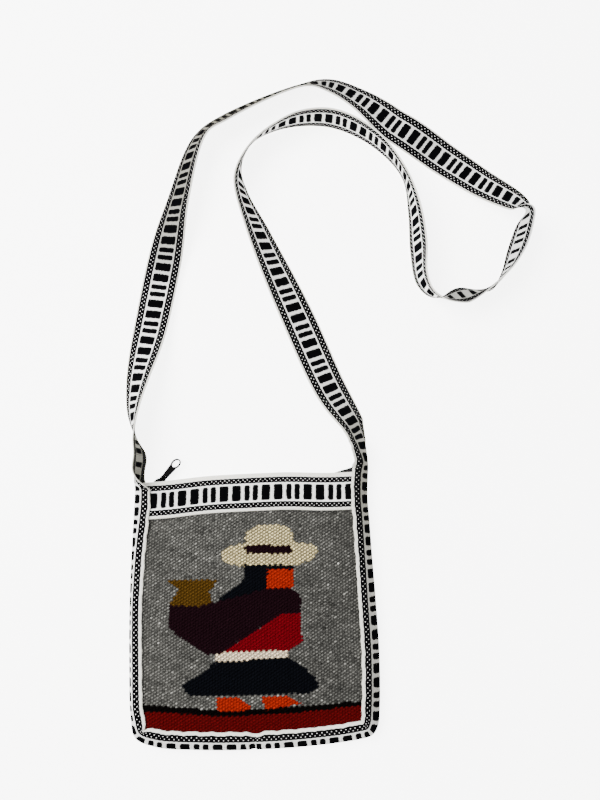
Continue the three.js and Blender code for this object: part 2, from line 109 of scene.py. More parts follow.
# Two faces joined at the rim. The last argument gives, row by row, how far the white of each face is
# darkened with painted shade.
def sheetPiece(name, upper, lower, uv, material, reverse=False, paint=None, paintedShade=(0.0, 0.0)):
    rows, columns = upper.shape[:2]
    count = rows * columns
    grid = np.arange(count).reshape(rows, columns)
    a, b, c, d = grid[:-1, :-1], grid[1:, :-1], grid[1:, 1:], grid[:-1, 1:]
    top = np.stack([a, b, c, d], -1).reshape(-1, 4)
    under = np.stack([a, d, c, b], -1).reshape(-1, 4) + count
    rim = np.concatenate([grid[0, :], grid[1:, -1], grid[-1, -2::-1], grid[-2:0:-1, 0]])
    after = np.roll(rim, -1)
    edge = np.stack([rim, after, after + count, rim + count], -1)
    faces = np.concatenate([top, under, edge])
    points = np.concatenate([upper.reshape(-1, 3), lower.reshape(-1, 3)])
    wide = np.cross(upper[1, 0] - upper[0, 0], upper[0, 1] - upper[0, 0])
    if np.dot(wide, upper[0, 0] - lower[0, 0]) < 0:
        faces = faces[:, ::-1]
    plan = np.concatenate([uv.reshape(-1, 2)] * 2)
    colours = None if paint is None else np.concatenate([paint] * 2)
    shade = [np.broadcast_to(np.reshape(face, (-1, 1)), (rows, columns)).ravel() for face in paintedShade]
    numbers = {"reverse": np.repeat([0, int(reverse)], count), "paintedShade": np.concatenate(shade)}
    return addMesh(name, points, faces.tolist(), material, plan, numbers, paint=colours)


class Wire:  # a socket that takes part in sums
    def __init__(self, tree, socket=None):
        self.tree = tree
        self.socket = socket

    def make(self, kind, settings=None, inputs=None, output=0):
        node = self.tree.nodes.new(kind)
        for key, value in (settings or {}).items():
            setattr(node, key, value)
        for key, value in (inputs or {}).items():
            if isinstance(value, Wire):
                self.tree.links.new(value.socket, node.inputs[key])
            else:
                node.inputs[key].default_value = value
        return Wire(self.tree, node.outputs[output])

    def sum(self, operation, *others):
        return self.make("ShaderNodeMath", {"operation": operation}, dict(enumerate((self, *others))))

    def __add__(self, other):
        return self.sum("ADD", other)

    def __sub__(self, other):
        return self.sum("SUBTRACT", other)

    def __rsub__(self, other):
        return self.make("ShaderNodeMath", {"operation": "SUBTRACT"}, {0: other, 1: self})

    def __mul__(self, other):
        return self.sum("MULTIPLY", other)

    def __truediv__(self, other):
        return self.sum("DIVIDE", other)

    def __mod__(self, other):
        return self.sum("FLOORED_MODULO", other)

    def __abs__(self):
        return self.sum("ABSOLUTE")

    __radd__ = __add__
    __rmul__ = __mul__

    def high(self, other):
        return self.sum("MAXIMUM", other)

    def low(self, other):
        return self.sum("MINIMUM", other)

    def power(self, other):
        return self.sum("POWER", other)

    def floor(self):
        return self.sum("FLOOR")

    def wave(self, pitch):  # between -1 and 1
        return (self * (2 * math.pi / pitch)).sum("COSINE")

    def ridge(self):  # rises and falls once in each whole step
        return abs((self * math.pi).sum("SINE"))

    def ease(self, start, end):  # 0 at start, 1 at end
        return self.make("ShaderNodeMapRange", {"interpolation_type": "SMOOTHSTEP"},
                         {"Value": self, "From Min": start, "From Max": end})

    def under(self, level, blur):  # 1 below the level, 0 above it
        return 1 - self.ease(level - blur, level + blur)

    def blend(self, first, second):  # colours, by this share
        return self.make("ShaderNodeMix", {"data_type": "RGBA"}, {0: self, 6: first, 7: second}, 2)


def newMaterial(name, finish):  # finish holds the values that are the same all over
    material = bpy.data.materials.new(name)
    material.use_nodes = True
    tree = material.node_tree
    shader = next(node for node in tree.nodes if node.type == "BSDF_PRINCIPLED")
    for key, value in finish.items():
        shader.inputs[key].default_value = value
    return material, Wire(tree), shader


def plug(wire, shader, key):
    wire.tree.links.new(wire.socket, shader.inputs[key])


def plugBump(height, shader, strength, distance):
    inputs = {"Strength": strength, "Distance": distance, "Height": height}
    plug(height.make("ShaderNodeBump", None, inputs), shader, "Normal")


def noise(wire, place, scale, detail=2.0, rough=0.5):
    return wire.make("ShaderNodeTexNoise", None, {"Vector": place, "Scale": scale, "Detail": detail,
                                                  "Roughness": rough})


def objectPlace(wire):
    return wire.make("ShaderNodeTexCoord", None, None, 3)


def clothPlace(wire):  # along and across the cloth, in millimetres
    place = wire.make("ShaderNodeUVMap", {"uv_map": "cloth"})
    return [wire.make("ShaderNodeSeparateXYZ", None, {0: place}, axis) for axis in (0, 1)]


def attribute(wire, name, output):  # output 0 is its colour, 2 its number, 3 its fourth value
    return wire.make("ShaderNodeAttribute", {"attribute_name": name}, None, output)


# Woven band of the strap, gusset and top trim: black figure on white, turned over on its other face

bandWeave = {
    "thread": 1.0667, "thread round": 0.6, "pick": 1.8, "pick round": 0.7, "pick rise": 0.65,
    "block": 6.95, "white": 8.3, "check": 13.3,  # half widths of the stripes, from the middle out
    "repeat": 35.5,
    "bars": ((3.75, 7.75), (14.35, 7.75), (23.45, 4.75), (30.35, 4.75)),  # middle and length of each block
    "corner": (1.8, 0.3), "reverse bar": 1.7,  # rounding of a block, and its loss on the other face
    "dot pitch": 3.8, "dot row": 0.8, "dot": (0.4, 0.31), "dot edge": (0.55, 1.35), "scallop": 0.12,
    "bar blur": 0.28, "block blur": 0.25, "check blur": 0.22, "rim": (13.1, 13.8),
    "shake": (9.0, 0.45), "wander": (260.0, 0.7), "fuzz": (900.0, 0.35),  # grain, and how far threads stray
    # rib and valley: painted shade in the grooves between weft ribs and in the valleys between threads and
    # picks
    "rib": (1.55, 0.34), "rib edge": (7.05, 0.5),  # pitch and depth of the weft between the blocks
    # edge light: share of the painted shade along the band left off at the stripe edges
    "valley": 0.16, "bright": 0.95, "fleck": 0.2, "edge light": 0.75, "fuzz rise": 0.25,
    "colours": {
        # white valley and black valley: colours of the painted shade in the valleys, in the white and in the
        # black
        "white": (252, 251, 248), "cream": (245, 242, 230), "white valley": (122, 120, 112),
        # shade and reverse shade: colours of the painted shade along the band, on the outer and the other
        # face
        "shade": (94, 92, 82), "reverse": (222, 222, 220), "reverse shade": (96, 95, 88),
        "black": (5, 5, 6), "black valley": (1, 1, 2),
    },
}


def dotRow(run, offset, shift):  # white dots of one row in the check stripe
    pitch = bandWeave["dot pitch"]
    long, high = bandWeave["dot"]
    step = (run / pitch + shift) % 1.0
    near = abs(step - 0.5) * pitch
    spread = (near * near) / (long * long) + (offset * offset) / (high * high)
    return 1 - spread.ease(*bandWeave["dot edge"])


def bandCloth():
    w = bandWeave
    paint = {key: linear(*colour) for key, colour in w["colours"].items()}
    material, start, shader = newMaterial("bandCloth", {"Roughness": 0.95, "Specular IOR Level": 0.0})
    along, across = clothPlace(start)
    reverse = attribute(start, "reverse", 2)
    paintedShade = attribute(start, "paintedShade", 2)
    spot = objectPlace(start)
    fuzzScale, fuzzReach = w["fuzz"]
    wanderScale, wanderReach = w["wander"]
    shakeLength, shakeReach = w["shake"]
    fuzz = noise(start, spot, fuzzScale, 3.0)
    wander = noise(start, spot, wanderScale, 1.0)
    lane = across / w["thread"]
    cell = start.make("ShaderNodeCombineXYZ", None, {0: lane.floor(), 1: (along / shakeLength).floor()})
    shake = start.make("ShaderNodeTexWhiteNoise", {"noise_dimensions": "2D"}, {"Vector": cell})
    run = along + (shake - 0.5) * shakeReach + (wander - 0.5) * wanderReach
    side = abs(across) + (fuzz - 0.5) * fuzzReach
    turn = run % w["repeat"]
    cut, rounding = w["corner"]
    corner = (side - (w["block"] - cut)).high(0.0)
    bars = []
    backBars = []
    for middle, length in w["bars"]:
        reach = abs(turn - middle)
        bars.append((reach + corner * corner * rounding).under(length / 2, w["bar blur"]))
        backBars.append(reach.under((length - w["reverse bar"]) / 2, w["bar blur"]))
    inside = side.under(w["block"], w["block blur"])
    blocks = reduce(Wire.high, bars) * inside
    turned = (1 - reduce(Wire.high, backBars)) * inside  # the same figure with its colours changed
    figure = blocks + (turned - blocks) * reverse
    offset = side - (w["white"] + w["check"]) / 2
    half = (w["check"] - w["white"]) / 2
    dots = dotRow(run, offset - w["dot row"], 0.0).high(dotRow(run, offset + w["dot row"], 0.5))
    scallop = run.wave(w["dot pitch"]) * w["scallop"]  # the edge swells round each dot
    outer = (offset + scallop).under(half, w["check blur"])
    inner = (0 - offset - scallop).under(half, w["check blur"])
    black = figure.high(outer * inner * (1 - dots)).low(1.0)
    weft = along / w["pick"] + lane.floor() * 0.5
    swell = 1 - w["pick rise"] + w["pick rise"] * weft.ridge().power(w["pick round"])
    height = lane.ridge().power(w["thread round"]) * swell
    # painted shade: darker in the valleys between threads and picks, with random flecks of tone
    tone = (1 - w["valley"] + w["valley"] * height) * (w["bright"] + w["fleck"] * fuzz)
    pale = side.ease(*w["rim"]).blend(paint["white"], paint["cream"])
    # painted shade along the band: the white darkens towards the shade colour, less at the stripe edges; the
    # other face darkens towards the reverse shade
    shaded = (paintedShade * (1 - w["edge light"] * side.ease(w["white"], w["check"]))).blend(pale, paint["shade"])
    pale = reverse.blend(shaded, paintedShade.blend(paint["reverse"], paint["reverse shade"]))
    ribPitch, ribDepth = w["rib"]
    # painted shade in the grooves between the weft ribs, inside the block stripe
    rib = side.under(*w["rib edge"]) * (0.5 + 0.5 * run.wave(ribPitch))
    paleShaded = (tone - ribDepth * rib).blend(paint["white valley"], pale)
    darkShaded = tone.blend(paint["black valley"], paint["black"])
    plug(black.blend(paleShaded, darkShaded), shader, "Base Color")
    plugBump(height + fuzz * w["fuzz rise"], shader, strength=0.7, distance=0.5 * mm)
    return material


bandMaterial = bandCloth()
print("band cloth made")


# Route of the band: strap first, from the bag's left top corner to its right, then round the bag.
# x, y in metres, roll in degrees: 0 lies flat, 90 stands on its edge. A fourth column says how far
# the band is opened: 0 wrapped as a C, 1 a flat ribbon, as it is in the rows without that column.

strapRoute = [
    (-0.1005, 0.1265, 98, 0.9), (-0.1034, 0.1415, 84), (-0.1061, 0.1633, 62), (-0.1041, 0.1900, 43),
    (-0.0955, 0.2379, 15), (-0.0851, 0.2991, 9), (-0.0736, 0.3536, 40), (-0.0538, 0.4174, 55),
    (-0.0314, 0.4350, 53.5), (0.0370, 0.4658, 57.5), (0.0628, 0.4682, 41), (0.0924, 0.4556, 27),
    (0.1341, 0.4267, -4), (0.2007, 0.3764, 12), (0.2364, 0.3512, 38), (0.2392, 0.3421, 94),
    (0.2360, 0.3301, 107), (0.2290, 0.3097, 109), (0.2201, 0.2902, 98), (0.2081, 0.2756, 90),
    (0.1940, 0.2704, 112), (0.1804, 0.2675, 130), (0.1649, 0.2641, 112), (0.1526, 0.2683, 96),
    (0.1442, 0.2820, 81), (0.1419, 0.3125, 71), (0.1386, 0.3477, 80), (0.1295, 0.3818, 95),
    (0.1048, 0.4125, 90), (0.0688, 0.4319, 87), (0.0370, 0.4324, 93), (0.0116, 0.4233, 105),
    (-0.0046, 0.4118, 109), (-0.0152, 0.3923, 98), (-0.0163, 0.3687, 72), (-0.0005, 0.3275, 49),
    (0.0352, 0.2484, 21), (0.0640, 0.1836, 25), (0.0824, 0.1533, 46),
]

gussetRoute = [
    (0.0907, 0.1395, 64, 0.83), (0.0936, 0.1265, 82, 0.42), (0.0949, 0.1165, 90, 0),
    (0.0947, 0.1125, 90, 0), (0.0939, 0.0920, 90, 0), (0.0953, 0.0720, 90, 0), (0.0970, 0.0450, 90, 0),
    (0.0998, 0.0050, 90, 0), (0.1021, -0.0400, 90, 0), (0.1017, -0.0800, 90, 0), (0.1002, -0.0935, 90, 0),
    (0.0958, -0.1006, 90, 0), (0.0850, -0.1039, 90, 0), (0.0450, -0.1091, 90, 0), (0.0, -0.1119, 90, 0),
    (-0.0450, -0.1122, 90, 0), (-0.0800, -0.1099, 90, 0), (-0.0966, -0.1031, 90, 0),
    (-0.1009, -0.0860, 90, 0), (-0.1034, -0.0430, 90, 0), (-0.1046, 0.0, 90, 0), (-0.1043, 0.0450, 90, 0),
    (-0.1032, 0.0900, 90, 0), (-0.1032, 0.0980, 90, 0), (-0.1021, 0.1050, 92, 0.68),
    (-0.1009, 0.1130, 97.5, 0.92),
]

bandForm = {
    "width": 32 * mm, "thick": 1.4 * mm, "radius": 5.35 * mm, "seam": 0.03 * mm, "clear": 0.1 * mm,
    "taper": ((14.6, 16), (1, 0.55)),  # share of the thickness, by millimetres from the middle
    "fine": 60,  # steps from row to row in which the length is measured
}

routePlan = np.array([row[:2] for row in strapRoute + gussetRoute])
routeTurn = np.array([(*row[2:], 1.0)[:2] for row in strapRoute + gussetRoute])
rightSeam = len(strapRoute) - 1


def onRoute(values, row, even):  # smooth closed line through the rows, with its direction
    base = np.floor(row).astype(int)
    w = (row - base)[:, None]
    p0, p1, p2, p3 = (values[(base + k) % len(values)] for k in (-1, 0, 1, 2))
    if even:
        t1, t2 = (p2 - p0) / 2, (p3 - p1) / 2
    else:
        spans = ((p0, p1), (p1, p2), (p2, p3))
        d0, d1, d2 = (np.sqrt(np.linalg.norm(q - p, axis=1))[:, None] for p, q in spans)
        t1 = ((p1 - p0) / d0 - (p2 - p0) / (d0 + d1) + (p2 - p1) / d1) * d1
        t2 = ((p2 - p1) / d1 - (p3 - p1) / (d1 + d2) + (p3 - p2) / d2) * d1
    c2 = -3 * p1 + 3 * p2 - 2 * t1 - t2
    c3 = 2 * p1 - 2 * p2 + t1 + t2
    return p1 + t1 * w + c2 * w ** 2 + c3 * w ** 3, t1 + 2 * c2 * w + 3 * c3 * w ** 2


def evenRows(first, last, step):  # row numbers at even steps of length, and the length run
    fine = np.linspace(first, last, int((last - first) * bandForm["fine"]))
    points, _ = onRoute(routePlan, fine, False)
    run = np.concatenate([[0], np.cumsum(np.linalg.norm(np.diff(points, axis=0), axis=1))])
    trim = bandForm["seam"]
    target = np.linspace(trim, run[-1] - trim, int(run[-1] / step))
    return np.interp(target, run, fine), target


def bandFaces(rows, columns, ripple=None, slide=0.0):  # outer and inner face of a stretch of band
    plan, along = onRoute(routePlan, rows, False)
    turn, _ = onRoute(routeTurn, rows, True)
    along = unit(along)
    inward = np.stack([along[:, 1], -along[:, 0]], -1)
    roll = np.radians(turn[:, :1])
    bendAll = math.pi * (1 - np.clip(turn[:, 1:], 0, 1))
    arc = math.pi * bandForm["radius"]
    s = columns[None, :] + np.reshape(slide, (-1, 1))
    bend = np.clip(s, -arc / 2, arc / 2)
    halfTurn = bendAll * bend / (2 * arc)
    chord = bend * np.sinc(halfTurn / math.pi)
    angle = roll - bendAll * np.clip(s / arc, -0.5, 0.5)
    into = np.cos(roll - halfTurn) * chord + np.cos(angle) * (s - bend)
    up = np.sin(roll - halfTurn) * chord + np.sin(angle) * (s - bend)
    up = up - np.min(up - np.abs(np.cos(angle)) * bandForm["thick"] / 2, axis=1)[:, None]
    if ripple is not None:
        into, up = ripple(plan, into, up, angle)
    taper = np.interp(np.abs(columns) / mm, *bandForm["taper"])[None, :]
    faces = []
    for side in (0.5, -0.5):
        away = side * bandForm["thick"] * taper
        flat = into - np.sin(angle) * away
        height = np.maximum(up + np.cos(angle) * away, bandForm["clear"])
        spot = plan[:, None, :] + inward[:, None, :] * flat[:, :, None]
        faces.append(np.concatenate([spot, height[:, :, None]], -1))
    return faces


def figureAcross(columns, figure):  # where the woven figure falls, from the middle out
    return np.sign(columns) * np.interp(np.abs(columns) / mm, *figure)


# Rows give millimetres run and a value: repeats of the woven figure counted so far, how far the white is
# darkened with painted shade on the outer face (shade), and how far on the other face (the next table)

strapPiece = {
    "step": 2.4 * mm, "columns": (0, 3.7, 7.4, 8.5, 11.7, 14.9, 16), "path points": 120,
    "figure": ((0, 7.4, 8.5, 14.9, 16), (0, 6.95, 8.3, 13.3, 16)),  # it runs nearly to the edge
    # painted shade on the white, by millimetres run: on the outer face, then on the other face
    "shade": ((0, 0.2), (60, 0.05), (150, 0.05), (170, 0.52), (192, 0.74), (212, 0.84), (235, 0.9),
              (290, 0.92), (315, 1), (405, 1), (430, 0.6), (460, 0.35), (505, 0.25), (533, 0.45),
              (556, 0.25), (590, 0.1), (800, 0.1), (1000, 0.3), (1140, 0.25), (1280, 0.15), (1315, 0.4),
              (1342, 0.75)),
    "paintedShade": ((0, 1), (28, 0.9), (60, 0.4), (600, 0.15), (705, 0.15), (735, 0.75), (775, 0.75), (800, 0.4)),
    "repeats": ((0, -0.54), (62, 1.22), (182, 4.7), (422, 11.61), (542, 15.02), (1142, 32.76),
                (1262, 36.15), (1342, 38.5)),
}

strapRows, strapRun = evenRows(0, rightSeam, strapPiece["step"])
halfColumns = np.array(strapPiece["columns"])
flatColumns = np.concatenate([-halfColumns[:0:-1], halfColumns]) * mm
strapUpper, strapLower = bandFaces(strapRows, flatColumns)
strapFigure = alongRun(strapRun, strapPiece["repeats"]) * bandWeave["repeat"]
strapAcross = figureAcross(flatColumns, strapPiece["figure"])
strapUv = np.stack(np.broadcast_arrays(strapFigure[:, None], strapAcross[None, :]), -1)
# painted shade of the strap's white, on each face
strapPaintedShade = [alongRun(strapRun, strapPiece[key]) for key in ("shade", "paintedShade")]
strap = sheetPiece("strap_webbing", strapUpper, strapLower, strapUv, bandMaterial, True, None, strapPaintedShade)
dress(strap, "strap")


# Gusset: the same band wrapped round the bag's edge, its two ends lapped under the middle of the bag.
# slide says how many millimetres of the band lie more to the front.

gussetPiece = {
    "step": 1.6 * mm, "lap columns": 6, "arc columns": 15, "change": 80 * mm,
    "join": 354 * mm, "under": 4 * mm, "sink": 1.0 * mm, "sink run": 6 * mm,
    "lap": (7 * mm, 13.5 * mm), "lap above": 6 * mm, "bottom": -90 * mm,
    "wave": {"x": 410, "y": 370, "shift": 0.6, "slant": 900, "slant share": 0.5, "swing": 0.35 * mm,
             "lift": 0.25 * mm},
    "notch": (1.0, 5.0, 1.8),  # its middle, width and depth
    "mitre": (-97.0, -103.0, 11.0, 4.0),  # its corner, reach and pull
    "right repeats": ((0, -0.5), (26, 0.25), (106, 2.52), (226, 5.67), (362, 9.35)),
    "left repeats": ((342, 9.27), (547, 14.7), (620, 16.64), (646.5, 17.385), (674, 18.195), (690, 18.66)),
    "slide": ((0, 0), (14, 4.8), (24, 3.0), (30, 0.6), (35, -0.9), (40, -0.2), (46, 0.6), (110, 0.8),
              (150, 1.4), (240, 1.6), (285, 1.4), (425, 1.4), (452, 0.8), (475, -2.0), (560, -2.3),
              (600, -1.2), (640, 0.8), (660, 0.4), (675, 0)),
    "figure": ((0, 7.1, 7.7, 13.4, 16), (0, 6.95, 8.3, 13.3, 16)),
    # painted shade on the white, by millimetres run: darker along the right side, and on the other face near
    # the left end
    "shade": ((0, 0.85), (60, 0.95), (130, 0.82), (240, 0.82), (265, 0.3), (430, 0.3), (475, 0.0)),
    "paintedShade": ((640, 0), (660, 1)),
}

gussetRows, gussetRun = evenRows(rightSeam, len(routePlan), gussetPiece["step"])
arcHalf = math.pi * bandForm["radius"] / 2
lapColumns = np.linspace(arcHalf, bandForm["width"] / 2, gussetPiece["lap columns"])[1:]
wrapColumns = np.concatenate([-lapColumns[::-1], np.linspace(-arcHalf, arcHalf, gussetPiece["arc columns"]),
                              lapColumns])


def lapRipple(plan, into, up, angle):  # small waves in the lap's free edge, and the notch at the join
    wave = gussetPiece["wave"]
    x, y = plan[:, :1], plan[:, 1:]
    swing = np.sin(x * wave["x"]) * np.cos(y * wave["y"] + wave["shift"])
    swing = swing + wave["slant share"] * np.sin((x - y) * wave["slant"])
    share = easeStep(into, *gussetPiece["lap"]) * (up > gussetPiece["lap above"])
    middle, wide, deep = gussetPiece["notch"]
    dent = deep * mm * np.exp(-((x / mm - middle) / wide) ** 2) * (y < gussetPiece["bottom"])
    cornerX, cornerY, reach, pull = gussetPiece["mitre"]  # the lap is folded sharp at the left bottom corner
    away = np.hypot(x / mm - cornerX, y / mm - cornerY)
    dent = dent + pull * mm * np.clip(1 - away / reach, 0, 1)
    return into + share * (swing * wave["swing"] - dent), up + np.abs(swing) * share * wave["lift"]


def tuckedRipple(plan, into, up, angle):  # the end that lies underneath sinks in as it nears the join
    into, up = lapRipple(plan, into, up, angle)
    join = gussetPiece["join"]
    deep = gussetPiece["sink"] * (1 - easeStep(leftRun, join, join + gussetPiece["sink run"]))[:, None]
    return into + np.sin(angle) * deep, up - np.cos(angle) * deep


def gussetPart(name, keep, ripple, counts):
    run = gussetRun[keep]
    slide = alongRun(run, gussetPiece["slide"]) * mm
    upper, lower = bandFaces(gussetRows[keep], wrapColumns, ripple, slide)
    near = np.clip(1 - np.minimum(run, gussetRun[-1] - run) / gussetPiece["change"], 0, 1)[:, None]
    across = figureAcross(wrapColumns, gussetPiece["figure"]) * (1 - near)
    across = across + figureAcross(wrapColumns, strapPiece["figure"]) * near
    figure = alongRun(run, counts) * bandWeave["repeat"]
    uv = np.stack(np.broadcast_arrays(figure[:, None], across), -1)
    # painted shade of the gusset's white, on each face
    paintedShade = [alongRun(run, gussetPiece[key]) for key in ("shade", "paintedShade")]
    piece = sheetPiece(name, upper, lower, uv, bandMaterial, True, None, paintedShade)
    dress(piece, "gusset_band")


leftKeep = gussetRun > gussetPiece["join"] - gussetPiece["under"]
leftRun = gussetRun[leftKeep]
gussetPart("gusset_webbing_right", gussetRun < gussetPiece["join"], lapRipple, gussetPiece["right repeats"])
gussetPart("gusset_webbing_left", leftKeep, tuckedRipple, gussetPiece["left repeats"])
print("gusset wrapped")


# Heights of the bag's front, by y: in the middle and along the sides, in millimetres

frontTable = np.array([
    (-113, 10.3, 10.3), (-97, 10.3, 10.3), (-70, 12.5, 10.3), (-20, 14.4, 10.3), (35, 14.5, 10.3),
    (56, 14.1, 10.2), (74, 13.1, 8.65), (91, 11.7, 8.6), (112, 7.7, 8.2),
])

# The bag's half width, middle line and crown, and how its back rises over the laps

bagForm = {
    "half": 101.5, "middle": -2.0, "lean": -0.026, "crown": 2.4,
    "back lift": 1.7, "back lift at": (0.885, 0.95), "back rest": 0.65, "back lap": 1.75,
    "side lap": (0.9, 0.985), "bottom lap": (90, 98), "top lap": (-7, -1),
}

topTrim = {
    "slope": 0.0484, "edge": 106.9, "low": -16.0, "width": 31.5, "plan": 0.965, "left": -97.0, "right": 88.5,
    "bow": (2.8, -8.0, 55.0), "lip": ((-82, 1.1), (-70, 1.6)), "thick": 1.4, "taper": ((14.8, 16), (1, 0.6)),
    "rows": 120, "columns": 17, "figure": 1.003, "front start": 66.5, "back start": 80.0, "front lift": 0.3,
}


def alongTable(y, column):
    keys, values = frontTable[:, 0], frontTable[:, column]
    slope = np.gradient(values, keys)
    slope[1:-1] = (values[2:] - values[:-2]) / (keys[2:] - keys[:-2])
    i = np.clip(np.searchsorted(keys, y, side="right"), 1, len(keys) - 1)
    span = keys[i] - keys[i - 1]
    t = np.clip((y - keys[i - 1]) / span, 0, 1)
    bend = slope[i - 1] * t * (1 - t) ** 2 - slope[i] * t * t * (1 - t)
    return values[i - 1] + (values[i] - values[i - 1]) * t * t * (3 - 2 * t) + bend * span


def acrossShare(x, y):  # 0 on the bag's middle line, 1 at the lap's free edge
    radius = bandForm["radius"] / mm
    lap = radius + (bandForm["width"] / mm - math.pi * radius) / 2
    middle = bagForm["middle"] + bagForm["lean"] * y
    return np.minimum(np.abs(x - middle) / (bagForm["half"] - lap), 1)


def frontLevel(x, y):
    run = y - topTrim["slope"] * x
    side, middle = alongTable(run, 2), alongTable(run, 1)
    return side + (middle - side) * (1 - acrossShare(x, y) ** bagForm["crown"])


def topEdge(x):
    rise, middle, half = topTrim["bow"]
    return topTrim["edge"] + topTrim["slope"] * x + rise * np.exp(-((x - middle) / half) ** 4)


def bandLowEdge(x):
    return topEdge(x) - topTrim["width"] * topTrim["plan"]


def backLift(x, y):  # the back top band rises over the laps at its ends
    return bagForm["back lift"] * easeStep(acrossShare(x, y), *bagForm["back lift at"])


def backLevel(x, y):  # the back panel lies on the laps and the top band
    sides = easeStep(acrossShare(x, y), *bagForm["side lap"])
    bottom = easeStep(-y, *bagForm["bottom lap"])
    top = easeStep(y - bandLowEdge(x), *bagForm["top lap"])
    return bagForm["back lap"] * np.maximum(np.maximum(sides, bottom), top) + bagForm["back rest"]


# Top bands, front and back

def topBand(name, node, panel, levelAt, start):
    x = np.linspace(topTrim["left"], topTrim["right"], topTrim["rows"])[:, None]
    lip = np.interp(x, *zip(*topTrim["lip"]))  # the edge stands a little above the sewn width
    columns = topTrim["low"] + (topTrim["width"] + lip) * np.linspace(0, 1, topTrim["columns"])[None, :]
    y = topEdge(x) - (topTrim["low"] + topTrim["width"] - columns) * topTrim["plan"]
    half = topTrim["thick"] / 2
    middle = levelAt(x, y) + half
    away = half * np.interp(np.abs(columns), *topTrim["taper"])
    xx = np.broadcast_to(x, y.shape)
    upper = np.stack([xx, y, middle + away], -1) * mm
    lower = np.stack([xx, y, middle - away], -1) * mm
    uv = np.stack([(xx + start) * topTrim["figure"], columns], -1)
    if panel == "back_panel":  # its outer face looks down
        upper, lower = lower, upper
    piece = sheetPiece(name, upper, lower, uv, bandMaterial, True)
    dress(piece, node)


topBand("front_top_webbing", "front_top_band", "front_panel",
        lambda x, y: frontLevel(x, y) + topTrim["front lift"], topTrim["front start"])
topBand("back_top_webbing", "back_top_band", "back_panel", backLift, topTrim["back start"])
print("top bands laid")


# Beads on points, for yarn floats and zip teeth

def beadTree(name, material, around, ends):
    tree = bpy.data.node_groups.new(name, "GeometryNodeTree")
    tree.is_modifier = True
    tree.interface.new_socket("Geometry", in_out="INPUT", socket_type="NodeSocketGeometry")
    sockets = {}
    for key, value in (("Around", around), ("Ends", ends)):
        item = tree.interface.new_socket(key, in_out="INPUT", socket_type="NodeSocketInt")
        item.default_value = value
        sockets[key] = item.identifier
    tree.interface.new_socket("Geometry", in_out="OUTPUT", socket_type="NodeSocketGeometry")
    start = Wire(tree)
    group = tree.nodes.new("NodeGroupInput")
    points, aroundIn, endsIn = (Wire(tree, group.outputs[k]) for k in range(3))
    turn, size = (start.make("GeometryNodeInputNamedAttribute", {"data_type": "FLOAT_VECTOR"}, {"Name": key})
                  for key in ("turn", "size"))
    bead = start.make("GeometryNodeMeshUVSphere", None,
                      {"Segments": aroundIn, "Rings": endsIn, "Radius": 0.5})
    rise = start.make("ShaderNodeSeparateXYZ", None, {0: start.make("GeometryNodeInputPosition")}, 1)
    # crown: height over the bead, read by the yarn's painted shade between the floats
    marked = start.make("GeometryNodeStoreNamedAttribute", {"data_type": "FLOAT", "domain": "POINT"},
                        {"Geometry": bead, "Name": "crown", "Value": rise + 0.5})
    soft = start.make("GeometryNodeSetShadeSmooth", None, {"Geometry": marked})
    turned = start.make("FunctionNodeEulerToRotation", None, {0: turn})
    placed = start.make("GeometryNodeInstanceOnPoints", None,
                        {"Points": points, "Instance": soft, "Rotation": turned, "Scale": size})
    real = start.make("GeometryNodeRealizeInstances", None, {"Geometry": placed})
    done = start.make("GeometryNodeSetMaterial", None, {"Geometry": real, "Material": material})
    out = tree.nodes.new("NodeGroupOutput")
    tree.links.new(done.socket, out.inputs[0])
    return tree, sockets


def beads(name, places, frames, sizes, material, tints=None, around=5, ends=4):
    tree, sockets = beadTree(name + "_tree", material, around, ends)
    cloud = bpy.data.meshes.new(name + "_points")
    cloud.from_pydata([tuple(p) for p in places], [], [])
    turns = np.array([Matrix(f).to_euler("XYZ")[:] for f in frames], np.float32)
    for key, values in (("turn", turns), ("size", np.asarray(sizes, np.float32))):
        field = cloud.attributes.new(key, "FLOAT_VECTOR", "POINT")
        field.data.foreach_set("vector", values.ravel())
    if tints is not None:
        field = cloud.attributes.new("tint", "FLOAT_COLOR", "POINT")
        field.data.foreach_set("color", np.asarray(tints, np.float32).ravel())
    holder = bpy.data.objects.new(name + "_points", cloud)
    bpy.context.collection.objects.link(holder)
    modifier = holder.modifiers.new("beads", "NODES")
    modifier.node_group = tree
    modifier[sockets["Around"]] = around
    modifier[sockets["Ends"]] = ends
    graph = bpy.context.evaluated_depsgraph_get()
    mesh = bpy.data.meshes.new_from_object(holder.evaluated_get(graph), depsgraph=graph)
    bpy.data.objects.remove(holder)
    mesh.name = name
    piece = bpy.data.objects.new(name, mesh)
    bpy.context.collection.objects.link(piece)
    return piece


# Wool tapestry: each weft float is a small bean of yarn, coloured from a chart

yarnLook = {
    "lean": 0.5, "stretch": (0.45, 1.6, 1.0), "fibre": (1900.0, 4.0, 0.65), "fleck": (700.0, 1.0),
    "tone": 0.62, "fibre share": 0.62, "fleck share": 0.3, "brightest": 1.2,
    # valley and crown: strength of the painted shade between the floats, and the crown heights over which it
    # fades
    "valley": 0.85, "crown": (0.62, 0.95),
}

# the ground is darker than its yarn by painted shade; tone and depth set how much
groundLook = {"grain": (800.0, 3.0), "tone": 0.72, "grain share": 0.3, "depth": 0.68}


